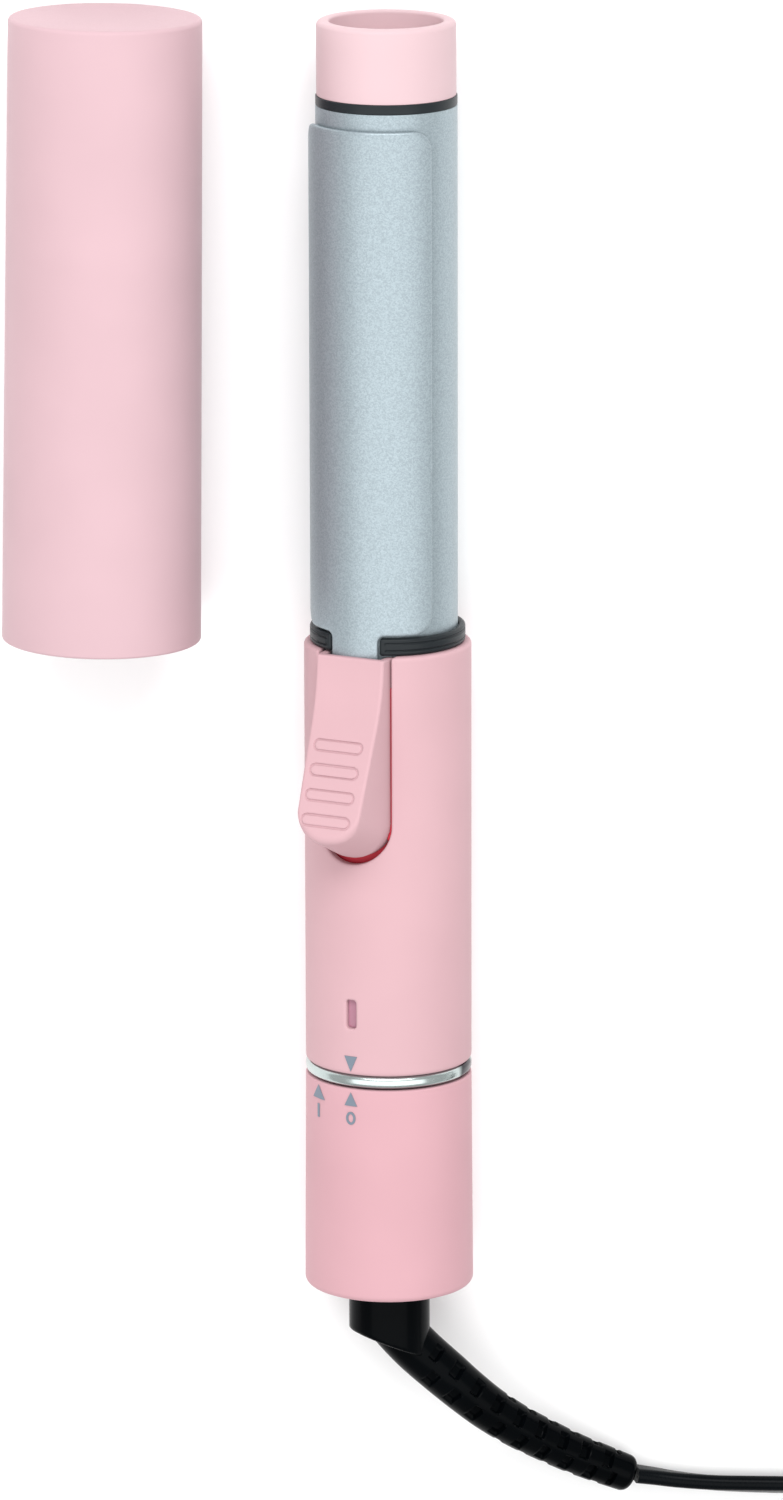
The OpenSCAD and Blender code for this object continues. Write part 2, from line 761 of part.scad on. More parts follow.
module plug_body() {
  rear_w = 14;
  shoulder = 18;
  color([0.07, 0.07, 0.08]) on_floor() translate([plug_x, plug_rear + small, plug_t / 2]) {
    rotate([-90, 0, 0]) cylinder(r1 = 3.4, r2 = 5.4, h = plug_relief + 2);
    translate([0, plug_relief, -plug_t / 2]) difference() {
      linear_extrude(plug_t) polygon([
        [-rear_w / 2, 0], [rear_w / 2, 0], [plug_w / 2, shoulder], [plug_w / 2, plug_len],
        [-plug_w / 2, plug_len], [-plug_w / 2, shoulder]]);
      for (side = [-1, 1]) translate([side * pin_spacing / 2, plug_len + 1, plug_t / 2])
        rotate([90, 0, 0]) cylinder(r = plug_pin_stem[0] + 0.02, h = plug_pin_stem[1] + 2);
    }
  }
}

module plug_pins() {
  color([0.80, 0.80, 0.78]) on_floor()
    for (side = [-1, 1])
      translate([plug_x + side * pin_spacing / 2, plug_rear + plug_relief + plug_len + 2 * small, plug_t / 2])
        rotate([-90, 0, 0]) {
          cylinder(r = plug_pin_r, h = plug_pin_len);
          translate([0, 0, -plug_pin_stem[1]]) cylinder(r = plug_pin_stem[0], h = plug_pin_stem[1] + 1);
        }
}

// ---- cover ----
module barrel_cover() {
  edge = 1.5;
  top_t = 1.8;
  color([0.95, 0.80, 0.84])
    translate([iron_x - cover_off_open, iron_y + cover_open_s, cover_r_open])
      rotate([0, 0, -cover_yaw]) rotate([-90 - cover_pitch, 0, 0]) rotate_extrude() difference() {
        union() {
          polygon([[0, 0], [cover_r_open, 0], [cover_r_closed, cover_len - edge],
                   [0, cover_len - edge]]);
          translate([0, cover_len - 2 * edge]) square([cover_r_closed - edge, 2 * edge]);
          translate([cover_r_closed - edge, cover_len - edge]) circle(r = edge, $fn = 32);
        }
        polygon([[-1, -1], [cover_r_open - cover_wall, -1],
                 [cover_r_closed - cover_wall, cover_len - top_t], [-1, cover_len - top_t]]);
      }
}

handle_shell();
indicator_lens();
pointer_mark();
chrome_ring();
heat_collar();
barrel_tube();
insulating_band();
tip_cap();
barrel_holder();
hinge_pin();
heat_spreaders();
ptc_heater();
heater_leads();
thermal_fuse();
chassis();
chassis_screws();
circuit_board();
board_screws();
board_components();
indicator_led();
switch_housing();
contact_brushes();
retaining_ring();
lever_spring();
clamp_spoon();
thumb_lever();
clamp_rivets();
twist_sleeve();
sleeve_marks();
switch_slider();
swivel_gland();
swivel_spindle();
slip_rings();
strain_relief();
cord_lead();
cord_coil();
cord_tie();
cord_tail();
plug_body();
plug_pins();
barrel_cover();
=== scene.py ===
"""Looks of the travel curling iron: lever, clamp, twist switch, swivel cord and barrel cover."""
import json
import math

import bpy
import bmesh
import numpy as np
from mathutils import Matrix, Vector


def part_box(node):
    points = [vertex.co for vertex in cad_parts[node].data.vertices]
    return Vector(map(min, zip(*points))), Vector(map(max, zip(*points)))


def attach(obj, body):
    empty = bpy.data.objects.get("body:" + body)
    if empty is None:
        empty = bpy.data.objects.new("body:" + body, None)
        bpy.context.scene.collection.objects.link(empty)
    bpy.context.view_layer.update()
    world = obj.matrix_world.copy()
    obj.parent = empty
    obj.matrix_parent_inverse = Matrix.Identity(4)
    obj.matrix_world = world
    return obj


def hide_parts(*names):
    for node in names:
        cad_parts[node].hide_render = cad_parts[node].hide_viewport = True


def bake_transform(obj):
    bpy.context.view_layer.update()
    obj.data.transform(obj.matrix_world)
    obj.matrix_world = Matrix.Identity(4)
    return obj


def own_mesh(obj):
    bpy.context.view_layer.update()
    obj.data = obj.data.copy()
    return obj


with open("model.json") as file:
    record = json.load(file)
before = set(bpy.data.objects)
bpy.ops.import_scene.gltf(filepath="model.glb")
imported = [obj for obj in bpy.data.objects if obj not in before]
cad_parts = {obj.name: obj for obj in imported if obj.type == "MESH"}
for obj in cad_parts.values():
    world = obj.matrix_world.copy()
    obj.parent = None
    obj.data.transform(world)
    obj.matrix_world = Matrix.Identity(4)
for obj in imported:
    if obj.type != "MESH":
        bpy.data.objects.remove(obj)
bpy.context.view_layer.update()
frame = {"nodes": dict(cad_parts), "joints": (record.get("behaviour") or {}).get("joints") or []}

MM = 0.001

# ---------------------------------------------------------------- places, from the frame
barrel_lo, barrel_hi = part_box("barrel_tube")
sleeve_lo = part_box("twist_sleeve")[0]
AXIS_X = (barrel_lo.x + barrel_hi.x) / 2
AXIS_Z = (barrel_lo.z + barrel_hi.z) / 2
FOOT_Y = sleeve_lo.y                     # the sleeve's bottom face, where s is 0
hinge = next(j for j in frame["joints"] if j["name"] == "lever_press")
FRONT = math.atan2(hinge["axis"][2], hinge["axis"][0])   # turn of the front from straight up


def floor_point(x, s, z):
    """A point by its distance from the iron's axis, along it and above the floor, in mm."""
    return Vector((AXIS_X + x * MM, FOOT_Y + s * MM, z * MM))


def iron_points(p):
    """Points (side, towards the front, along) on the iron in mm, as points of the row in metres."""
    p = np.asarray(p, float)
    c, s = math.cos(FRONT), math.sin(FRONT)
    out = np.empty_like(p)
    out[:, 0] = AXIS_X + (p[:, 0] * c - p[:, 1] * s) * MM
    out[:, 1] = FOOT_Y + p[:, 2] * MM
    out[:, 2] = AXIS_Z + (p[:, 0] * s + p[:, 1] * c) * MM
    return out


# ---------------------------------------------------------------- camera, first
def make_camera():
    tilt, distance, roll = math.radians(13.7), 1.646, math.radians(-0.14)
    aim = floor_point(0.65, 102.6, AXIS_Z / MM)
    back = Vector((0, math.sin(tilt), math.cos(tilt)))
    up = Vector((0, math.cos(tilt), -math.sin(tilt)))
    right = up.cross(back)
    data = bpy.data.cameras.new("camera")
    data.lens, data.sensor_width = 212.7, 36.0
    data.clip_end = 20
    cam = bpy.data.objects.new("camera", data)
    turn = Matrix((right, up, back)).transposed().to_4x4() @ Matrix.Rotation(roll, 4, "Z")
    cam.matrix_world = Matrix.Translation(aim + back * distance) @ turn
    bpy.context.scene.collection.objects.link(cam)
    bpy.context.scene.camera = cam


make_camera()


# ---------------------------------------------------------------- mesh helpers
def make_mesh(name, verts, faces, material, body=None, sharp=None, merge=1e-7):
    """A mesh piece from points in metres, with doubles merged and normals outward."""
    mesh = bpy.data.meshes.new(name)
    mesh.from_pydata([tuple(v) for v in verts], [], [tuple(f) for f in faces])
    bm = bmesh.new()
    bm.from_mesh(mesh)
    if merge:
        bmesh.ops.remove_doubles(bm, verts=bm.verts, dist=merge)
    bmesh.ops.recalc_face_normals(bm, faces=bm.faces)
    bm.to_mesh(mesh)
    bm.free()
    mesh.polygons.foreach_set("use_smooth", [True] * len(mesh.polygons))
    if sharp is not None:
        mesh.set_sharp_from_angle(angle=math.radians(sharp))
    mesh.update()
    mesh.materials.append(material)
    obj = bpy.data.objects.new(name, mesh)
    bpy.context.scene.collection.objects.link(obj)
    if body:
        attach(obj, body)
    return obj


def grid_faces(rows, cols, wrap=False):
    """Quads of a grid of rows by cols points; wrap joins the last column to the first."""
    faces = []
    last = cols if wrap else cols - 1
    for i in range(rows - 1):
        for j in range(last):
            k = (j + 1) % cols
            faces.append((i * cols + j, i * cols + k, (i + 1) * cols + k, (i + 1) * cols + j))
    return faces


def rounded(points, radii, steps=6):
    """A closed outline with each corner rounded by its radius."""
    out = []
    n = len(points)
    for i, (p, r) in enumerate(zip(points, radii)):
        p, a, b = (np.array(q, float) for q in (p, points[i - 1], points[(i + 1) % n]))
        u, v = (a - p) / np.linalg.norm(a - p), (b - p) / np.linalg.norm(b - p)
        half = math.acos(max(-1, min(1, float(u @ v)))) / 2
        if r <= 0 or half > math.pi / 2 - 0.01:
            out.append(tuple(p))
            continue
        t = r / math.tan(half)
        centre = p + (u + v) / np.linalg.norm(u + v) * r / math.sin(half)
        p0, p1 = p + u * t - centre, p + v * t - centre
        swing = math.acos(max(-1, min(1, float(p0 @ p1) / r / r)))
        for k in range(steps + 1):
            w = k / steps
            q = (math.sin((1 - w) * swing) * p0 + math.sin(w * swing) * p1) / math.sin(swing)
            out.append(tuple(centre + q))
    return out


def split_long(outline, longest):
    """Adds points so that no straight stretch is longer than this."""
    out = []
    for a, b in zip(outline, outline[1:] + outline[:1]):
        n = max(1, math.ceil(math.dist(a, b) / longest))
        out += [(a[0] + (b[0] - a[0]) * k / n, a[1] + (b[1] - a[1]) * k / n) for k in range(n)]
    return out


def lathe(name, outline, material, body, place=iron_points, segments=160, sharp=35):
    """Turns a closed outline of (radius, along) in mm about the axis."""
    outline = split_long(outline, 4.0)
    n = len(outline)
    turn = np.arange(segments) * 2 * math.pi / segments
    r, s = np.array(outline).T
    p = np.stack([np.outer(np.sin(turn), r), np.outer(np.cos(turn), r),
                  np.tile(s, (segments, 1))], axis=2).reshape(-1, 3)
    faces = []
    for i in range(segments):
        k = (i + 1) % segments
        faces += [(i * n + j, i * n + (j + 1) % n, k * n + (j + 1) % n, k * n + j) for j in range(n)]
    return make_mesh(name, place(p), faces, material, body, sharp)


CORNERS = np.array([(i, j, k) for i in (0, 1) for j in (0, 1) for k in (0, 1)])
EDGES = [(a, b) for a in range(8) for b in range(a + 1, 8)
         if np.abs(CORNERS[a] - CORNERS[b]).sum() == 1]


def net(distance, low, high, cell, wrap=False):
    """Points and quads of the surface where distance() is 0: one point for each cell it crosses.
    With wrap, the first axis runs round and joins up with itself."""
    rounds, probe, stride = 4, 0.02, 0.5     # of the last moves: their number, slope step and limit
    low, cell = np.array(low, float), np.ones(3) * cell
    size = np.ceil((np.array(high) - low) / cell - 1e-6).astype(int) + 1
    axes = [low[i] + cell[i] * np.arange(size[i]) for i in range(3)]
    value = np.empty(size)
    for i, x in enumerate(axes[0]):
        y, z = np.meshgrid(axes[1], axes[2], indexing="ij")
        value[i] = distance(np.stack([np.full(y.size, x), y.ravel(), z.ravel()], 1)).reshape(y.shape)
    if wrap:
        value[-1] = value[0]
    inside = value < 0
    at = [tuple(slice(c, c + n - 1) for c, n in zip(corner, size)) for corner in CORNERS]
    count = sum(inside[a].astype(int) for a in at)
    cells = np.argwhere((count > 0) & (count < 8))
    total, hits = np.zeros((len(cells), 3)), np.zeros(len(cells))
    corner_value = [value[tuple((cells + c).T)] for c in CORNERS]
    for a, b in EDGES:
        va, vb = corner_value[a], corner_value[b]
        cross = (va < 0) != (vb < 0)
        t = np.where(cross, va / np.where(cross, va - vb, 1), 0)
        point = CORNERS[a] + t[:, None] * (CORNERS[b] - CORNERS[a])
        total[cross] += point[cross]
        hits[cross] += 1
    points = low + cell * (cells + total / hits[:, None])
    index = -np.ones([n - 1 for n in size], int)
    index[tuple(cells.T)] = np.arange(len(cells))
    faces = []
    for axis in range(3):
        u, v = [d for d in range(3) if d != axis]
        start = [0 if wrap and d == 0 else 1 for d in range(3)]
        first = inside[tuple(slice(0, -1) if d == axis else slice(start[d], -1) for d in range(3))]
        second = inside[tuple(slice(1, None) if d == axis else slice(start[d], -1) for d in range(3))]
        where = np.argwhere(first != second)
        where[:, u] += start[u]
        where[:, v] += start[v]
        ring = []
        for du, dv in ((-1, -1), (0, -1), (0, 0), (-1, 0)):
            c = where.copy()
            c[:, u] += du
            c[:, v] += dv
            if wrap:
                c[:, 0] %= size[0] - 1
            ring.append(index[tuple(c.T)])
        faces.append(np.stack(ring, 1))
    for _ in range(rounds):
        d = distance(points)
        grad = np.empty_like(points)
        for i in range(3):
            step = np.eye(3)[i] * probe * cell
            grad[:, i] = (distance(points + step) - distance(points - step)) / (2 * probe * cell[i])
        move = (d / np.maximum((grad ** 2).sum(1), 0.2))[:, None] * grad
        length = np.linalg.norm(move, axis=1, keepdims=True)
        points -= move * np.minimum(1, stride * cell.min() / np.maximum(length, 1e-9))
    return points, np.concatenate(faces)


def round_the_iron(radius, points):
    """Points of an unrolled wall (distance round it at this radius, height, along) on the iron."""
    a = points[:, 0] / radius
    return np.stack([points[:, 1] * np.sin(a), points[:, 1] * np.cos(a), points[:, 2]], 1)


def length2(a, b):
    return np.sqrt(a * a + b * b)


def both(a, b, r):
    """Distance to what two solids share, with a round edge of radius r."""
    return np.minimum(np.maximum(a, b), -r) + length2(np.maximum(a + r, 0), np.maximum(b + r, 0))


def either(a, b, r):
    """Distance to two solids joined, with a round hollow corner of radius r."""
    return -both(-a, -b, r)


def slab(value, half):
    return np.abs(value) - half


def between(value, low, high):
    """Distance to the slab from low to high."""
    return slab(value - (low + high) / 2, (high - low) / 2)


def boxed(p, half, r):
    """Distance to a box about the origin with round edges."""
    q = np.abs(p) - (np.array(half) - r)
    return np.linalg.norm(np.maximum(q, 0), axis=1) + np.minimum(q.max(1), 0) - r


# ---------------------------------------------------------------- materials
def new_material(name):
    m = bpy.data.materials.new(name)
    m.use_nodes = True
    tree = m.node_tree
    shader = next(n for n in tree.nodes if n.type == "BSDF_PRINCIPLED")
    where = tree.nodes.new("ShaderNodeTexCoord")
    return m, tree, shader, where.outputs["Object"]


def noise(tree, where, scale, detail=2.0, stretch=None):
    n = tree.nodes.new("ShaderNodeTexNoise")
    n.inputs["Scale"].default_value = scale
    n.inputs["Detail"].default_value = detail
    if stretch:
        m = tree.nodes.new("ShaderNodeMapping")
        m.inputs["Scale"].default_value = stretch
        tree.links.new(where, m.inputs["Vector"])
        where = m.outputs["Vector"]
    tree.links.new(where, n.inputs["Vector"])
    return n.outputs["Fac"]


def ramp(tree, value, low, high, at=(0.35, 0.65)):
    r = tree.nodes.new("ShaderNodeValToRGB")
    for e, pos, colour in zip(r.color_ramp.elements, at, (low, high)):
        e.position, e.color = pos, (*colour, 1)
    tree.links.new(value, r.inputs["Fac"])
    return r.outputs["Color"]


def rough_range(tree, value, low, high):
    r = tree.nodes.new("ShaderNodeMapRange")
    r.inputs["From Min"].default_value, r.inputs["From Max"].default_value = 0.3, 0.7
    r.inputs["To Min"].default_value, r.inputs["To Max"].default_value = low, high
    tree.links.new(value, r.inputs["Value"])
    return r.outputs["Result"]


def bump(tree, value, strength, depth_mm):
    b = tree.nodes.new("ShaderNodeBump")
    b.inputs["Strength"].default_value = strength
    b.inputs["Distance"].default_value = depth_mm * MM
    tree.links.new(value, b.inputs["Height"])
    return b.outputs["Normal"]


def shade(colour, k):
    return tuple(min(1.0, c * k) for c in colour)


def plastic(name, colour, rough, vary=0.02, grain_mm=0.35, grain=0.05, coat=0.0, spec=0.5):
    """Moulded plastic: faint cloudiness, fine grain in the gloss and in the surface."""
    m, tree, shader, where = new_material(name)
    cloud = noise(tree, where, 45)
    fine = noise(tree, where, 1000 / grain_mm, 3)
    tree.links.new(ramp(tree, cloud, shade(colour, 1 - vary), shade(colour, 1 + vary)),
                   shader.inputs["Base Color"])
    tree.links.new(rough_range(tree, fine, rough - 0.04, rough + 0.05), shader.inputs["Roughness"])
    tree.links.new(bump(tree, fine, grain, 0.05), shader.inputs["Normal"])
    shader.inputs["Specular IOR Level"].default_value = spec
    shader.inputs["Coat Weight"].default_value = coat
    shader.inputs["Coat Roughness"].default_value = 0.12
    return m


def metal(name, colour, rough, brushed=None, grain=0.04):
    """Plain metal: brushed names how the grain is stretched along x, y and z."""
    m, tree, shader, where = new_material(name)
    fine = noise(tree, where, 600, 4, brushed)
    tree.links.new(ramp(tree, fine, shade(colour, 0.93), shade(colour, 1.05)),
                   shader.inputs["Base Color"])
    tree.links.new(rough_range(tree, fine, rough * 0.8, rough * 1.25), shader.inputs["Roughness"])
    tree.links.new(bump(tree, fine, grain, 0.03), shader.inputs["Normal"])
    shader.inputs["Metallic"].default_value = 1.0
    return m


def chrome(name, light, dark, rough):
    """Polished trim with painted reflections: broad light stretches with a few dark ones round it."""
    m, tree, shader, where = new_material(name)
    fine = noise(tree, where, 600, 4)
    # painted reflection: noise mixes the base colour with dark patches that stand in for dark
    # surroundings reflected in the chrome
    tree.links.new(ramp(tree, noise(tree, where, 75, 1.0), dark, light, (0.33, 0.40)),
                   shader.inputs["Base Color"])
    tree.links.new(rough_range(tree, fine, rough * 0.8, rough * 1.25), shader.inputs["Roughness"])
    shader.inputs["Metallic"].default_value = 1.0
    return m


def metallic_paint(name, colour, rough, metallic, flake_mm=0.22):
    """Silver coating with fine bright and dark flakes."""
    m, tree, shader, where = new_material(name)
    cells = tree.nodes.new("ShaderNodeTexVoronoi")
    cells.inputs["Scale"].default_value = 1000 / flake_mm
    tree.links.new(where, cells.inputs["Vector"])
    grey = tree.nodes.new("ShaderNodeSeparateColor")
    tree.links.new(cells.outputs["Color"], grey.inputs["Color"])
    tint = ramp(tree, grey.outputs["Red"], shade(colour, 0.88), shade(colour, 1.10), (0.1, 0.9))
    tree.links.new(tint, shader.inputs["Base Color"])
    tree.links.new(rough_range(tree, grey.outputs["Green"], rough - 0.05, rough + 0.06),
                   shader.inputs["Roughness"])
    tree.links.new(bump(tree, grey.outputs["Blue"], 0.10, 0.02), shader.inputs["Normal"])
    shader.inputs["Metallic"].default_value = metallic
    return m


def woven(name, colour):
    """Strap cloth: two crossed sets of threads."""
    m, tree, shader, where = new_material(name)
    waves = []
    for direction in ("X", "Y"):
        w = tree.nodes.new("ShaderNodeTexWave")
        w.bands_direction = direction
        w.inputs["Scale"].default_value = 420
        w.inputs["Distortion"].default_value = 0.4
        tree.links.new(where, w.inputs["Vector"])
        waves.append(w.outputs["Fac"])
    mix = tree.nodes.new("ShaderNodeMath")
    mix.operation = "MAXIMUM"
    tree.links.new(waves[0], mix.inputs[0])
    tree.links.new(waves[1], mix.inputs[1])
    tree.links.new(ramp(tree, mix.outputs["Value"], shade(colour, 0.5), colour, (0.2, 0.9)),
                   shader.inputs["Base Color"])
    tree.links.new(bump(tree, mix.outputs["Value"], 0.6, 0.2), shader.inputs["Normal"])
    tree.links.new(rough_range(tree, mix.outputs["Value"], 0.7, 0.9), shader.inputs["Roughness"])
    shader.inputs["Sheen Weight"].default_value = 0.3
    return m


PINK = plastic("pink_satin", (0.54, 0.342, 0.37), 0.45, spec=0.06)
SLEEVE_PINK = plastic("sleeve_pink", (0.54, 0.315, 0.348), 0.45, spec=0.06)
# painted shade: saturated dark red that stands in for the shade and reddened light deep in the gap
# round the lever
GAP_SHADE_RED = plastic("painted_gap_shade_red", (0.48, 0.035, 0.055), 0.5, spec=0.1)
# painted light: brighter than the handle's pink, to light the dish's shaded inside and the tip's sides
TIP_PINK_LIT = plastic("tip_pink", (0.59, 0.428, 0.452), 0.42, spec=0.08)
COVER_PINK = plastic("cover_pink", (0.53, 0.362, 0.393), 0.42, spec=0.08)
LENS = plastic("indicator_lens", (0.36, 0.16, 0.22), 0.12, vary=0.08, coat=0.5)
MARK = plastic("mark_grey", (0.15, 0.185, 0.23), 0.55, vary=0.05)
BLACK = plastic("black_gloss", (0.001, 0.0015, 0.002), 0.22, vary=0.2, grain=0.03, spec=0.03)
TRIM = plastic("trim_black", (0.016, 0.020, 0.023), 0.35, vary=0.15, grain=0.1, spec=0.15)
CORD = plastic("cord_black", (0.002, 0.003, 0.004), 0.28, vary=0.2, grain=0.06, spec=0.05)
DARK = plastic("dark_plastic", (0.035, 0.035, 0.04), 0.5, vary=0.1, grain=0.2)
FRAME = plastic("frame_plastic", (0.70, 0.70, 0.66), 0.5, vary=0.03, grain=0.15)
BOARD = plastic("board_green", (0.025, 0.15, 0.06), 0.35, vary=0.15, grain_mm=0.8, grain=0.2)
TAN = plastic("component_tan", (0.60, 0.42, 0.22), 0.45, vary=0.12)
LED = plastic("led_red", (0.65, 0.05, 0.04), 0.15, vary=0.1, coat=0.5)
SILVER = metallic_paint("silver_coat", (0.305, 0.365, 0.395), 0.45, 0.5)
# the ring's chrome, with painted dark reflections in its base colour
CHROME = chrome("chrome_trim", (0.45, 0.51, 0.50), (0.03, 0.03, 0.035), 0.22)
STEEL = metal("steel", (0.62, 0.63, 0.65), 0.3, (1, 0.1, 1))
ALUMINIUM = metal("heater_aluminium", (0.70, 0.70, 0.72), 0.35, (1, 0.05, 1))
BRASS = metal("heater_brass", (0.70, 0.50, 0.22), 0.3)
PIN = metal("pin_metal", (0.66, 0.65, 0.62), 0.22, (1, 0.08, 1))
TIE = woven("tie_black", (0.05, 0.05, 0.055))

CAD_LOOKS = {
    "pointer_mark": MARK, "sleeve_marks": MARK, "indicator_lens": LENS,
    "barrel_holder": DARK, "switch_housing": DARK, "swivel_spindle": DARK,
    "chassis": FRAME, "switch_slider": FRAME, "circuit_board": BOARD, "board_components": TAN,
    "indicator_led": LED, "heat_spreaders": ALUMINIUM, "ptc_heater": BRASS, "heater_leads": BRASS,
    "contact_brushes": BRASS, "slip_rings": BRASS, "hinge_pin": STEEL, "chassis_screws": STEEL,
    "board_screws": STEEL, "clamp_rivets": STEEL, "retaining_ring": STEEL, "thermal_fuse": STEEL,
}
for node, look in CAD_LOOKS.items():
    mesh = frame["nodes"][node].data
    mesh.materials.clear()
    mesh.materials.append(look)


# ---------------------------------------------------------------- cord, before the rest
CORD_W, CORD_T = 5.2, 3.2                # flat twin cord, in mm
RELIEF_ROUTE = [
    (0.44, -6.62, 15.8), (1.2, -8.6, 15.8), (5.5, -13.5, 15.7), (11.2, -19.0, 14.9),
    (15.3, -22.9, 14.0), (19.4, -26.5, 12.9), (24.5, -30.4, 11.0), (29.7, -33.8, 8.9),
    (35.2, -37.1, 6.9), (40.5, -39.8, 5.2), (46.3, -42.5, 3.8),
]
# The relief's radius at each point of its route.
RELIEF_R = [4.7, 4.75, 4.7, 4.6, 4.42, 4.28, 4.15, 4.02, 3.88, 3.75, 3.5]
LEAD_ROUTE = [
    (46.95, -42.7, 3.6), (50.5, -43.4, 2.95), (55, -44.2, 2.65), (62, -44.9, 2.6), (70, -45.2, 2.6),
    (80, -45.4, 2.6), (92, -45.6, 2.6), (106, -45.7, 2.6), (118, -45.7, 2.6),
]
TAIL_ROUTE = [
    (157.2, -8, 7.8), (156.6, 0, 7.0), (155, 8, 5.6), (152.6, 16, 4.1), (149.8, 24, 3.0),
    (147, 32, 2.7), (144.9, 40, 3.3), (143.8, 48, 4.9), (143.5, 55, 6.3), (143.5, 60, 6.8),
]
COIL_AT, COIL_R = (123.5, -12), 27
TURN_PITCH, TURNS_ACROSS = 3.35, 5
LAYER_Z = (2.6, 7.9)
TIE_ANGLE, TIE_T, TIE_W = math.radians(110), 0.8, 8.0
PLUG_X, PLUG_REAR, PLUG_RELIEF, PLUG_LEN = 143.5, 60.0, 20.0, 35.0
PLUG_W, PLUG_T, PIN_GAP = 35.3, 13.6, 18.6


def smooth_line(points, step=1.5):
    """Points every step mm along a smooth curve through the given ones."""
    p = np.array(points, float)
    ends = np.vstack([2 * p[0] - p[1], p, 2 * p[-1] - p[-2]])
    out = []
    for a, b, c, d in zip(ends, ends[1:], ends[2:], ends[3:]):
        n = max(1, round(np.linalg.norm(c - b) / step))
        t = (np.arange(n) / n)[:, None]
        out.append(0.5 * (2 * b + (c - a) * t + (2 * a - 5 * b + 4 * c - d) * t ** 2
                          + (3 * b - a - 3 * c + d) * t ** 3))
    return np.vstack(out + [p[-1:]])


def length_along(line):
    """How far along its line each point lies."""
    return np.concatenate([[0], np.cumsum(np.linalg.norm(np.diff(line, axis=0), axis=1))])


def coil_line():
    """The wound turns: in along the floor, up at the inside, and out again on top."""
    outer = COIL_R + TURN_PITCH * (TURNS_ACROSS - 1) / 2
    inner = COIL_R - TURN_PITCH * (TURNS_ACROSS - 1) / 2
    across = TURNS_ACROSS - 1
    rise, last = 0.6, 0.65                # turns spent going up, and on the outside at the end
    first, tie_reach = 0.25, 0.25         # where the turns start, and how far the tie lifts them
    knots = [0, across, across + rise, 2 * across + rise, 2 * across + rise + last]
    steps_a_turn = 90
    turn = np.arange(0, knots[-1], 1 / steps_a_turn)
    radius = np.interp(turn, knots, [outer, inner, inner, outer, outer])
    climb = np.clip((turn - knots[1]) / rise, 0, 1)
    z = LAYER_Z[0] + (LAYER_Z[1] - LAYER_Z[0]) * climb * climb * (3 - 2 * climb)
    angle = (turn - first) * 2 * math.pi
    from_tie = (angle - TIE_ANGLE + math.pi) % (2 * math.pi) - math.pi
    z += TIE_T * np.exp(-(from_tie / tie_reach) ** 2)
    return np.stack([COIL_AT[0] + radius * np.cos(angle), COIL_AT[1] + radius * np.sin(angle), z], 1)


def on_floor(p):
    p = np.asarray(p, float)
    return np.stack([AXIS_X + p[:, 0] * MM, FOOT_Y + p[:, 1] * MM, p[:, 2] * MM], 1)


def sweep(name, line, section, material, twist=None, body=None, cap=True):
    """Sweeps a closed section(k) of (thin, wide) points along a line in mm; wide stands up."""
    line = np.asarray(line, float)
    way = np.gradient(line, axis=0)
    way /= np.linalg.norm(way, axis=1, keepdims=True)
    up = np.array([0, 0, 1.0]) - way * way[:, 2:]
    up /= np.linalg.norm(up, axis=1, keepdims=True)
    side = np.cross(up, way)
    twist = np.zeros(len(line)) if twist is None else twist
    c, s = np.cos(twist)[:, None], np.sin(twist)[:, None]
    wide, thin = up * c + side * s, side * c - up * s
    rings = []
    for k in range(len(line)):
        q = section(k)
        rings.append(line[k] + q[:, :1] * thin[k] + q[:, 1:] * wide[k])
    n = len(rings[0])
    faces = grid_faces(len(rings), n, wrap=True)
    if cap:
        faces += [tuple(range(n)), tuple(range((len(rings) - 1) * n, len(rings) * n))]
    return make_mesh(name, on_floor(np.vstack(rings)), faces, material, body, 50)


def cord_section():
    """A flat twin cord's outline, with a faint waist between its two cores."""
    half, n, waist_depth, waist_reach = (CORD_W - CORD_T) / 2, 28, 0.16, 0.7
    out = []
    for k in range(n):
        a = 2 * math.pi * k / n
        thin, wide = CORD_T / 2 * math.cos(a), CORD_T / 2 * math.sin(a)
        waist = waist_depth * math.exp(-(wide / waist_reach) ** 2)
        out.append((thin - math.copysign(waist, thin), wide + math.copysign(half, wide)))
    return np.array(out)


def make_cord():
    """The whole cord: its lead turns flat, lies in the coil and runs on to the plug."""
    most_twist, twist_x, twist_len, blend_x = math.radians(27), 46, 62, (46, 84)
    lead, coil, tail = smooth_line(LEAD_ROUTE), coil_line(), smooth_line(TAIL_ROUTE)
    line = np.vstack([lead, coil[1:], tail[1:]])
    x = line[:, 0]
    on_lead = np.arange(len(line)) < len(lead)
    swell = np.sin(np.clip((x - twist_x) / twist_len, 0, 1) * math.pi)
    twist = np.where(on_lead, most_twist * swell, 0)
    outline = cord_section()
    cord = sweep("cord", line, lambda k: outline, CORD, twist)
    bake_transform(cord)
    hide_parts("cord_lead", "cord_coil", "cord_tail")
    return cord, line


def place_plug(p):
    """Points of the plug: across, up from the floor, along from its relief's end."""
    p = np.asarray(p, float)
    return np.stack([AXIS_X + (PLUG_X + p[:, 0]) * MM, FOOT_Y + (PLUG_REAR + p[:, 2]) * MM,
                     (PLUG_T / 2 + p[:, 1]) * MM], 1)


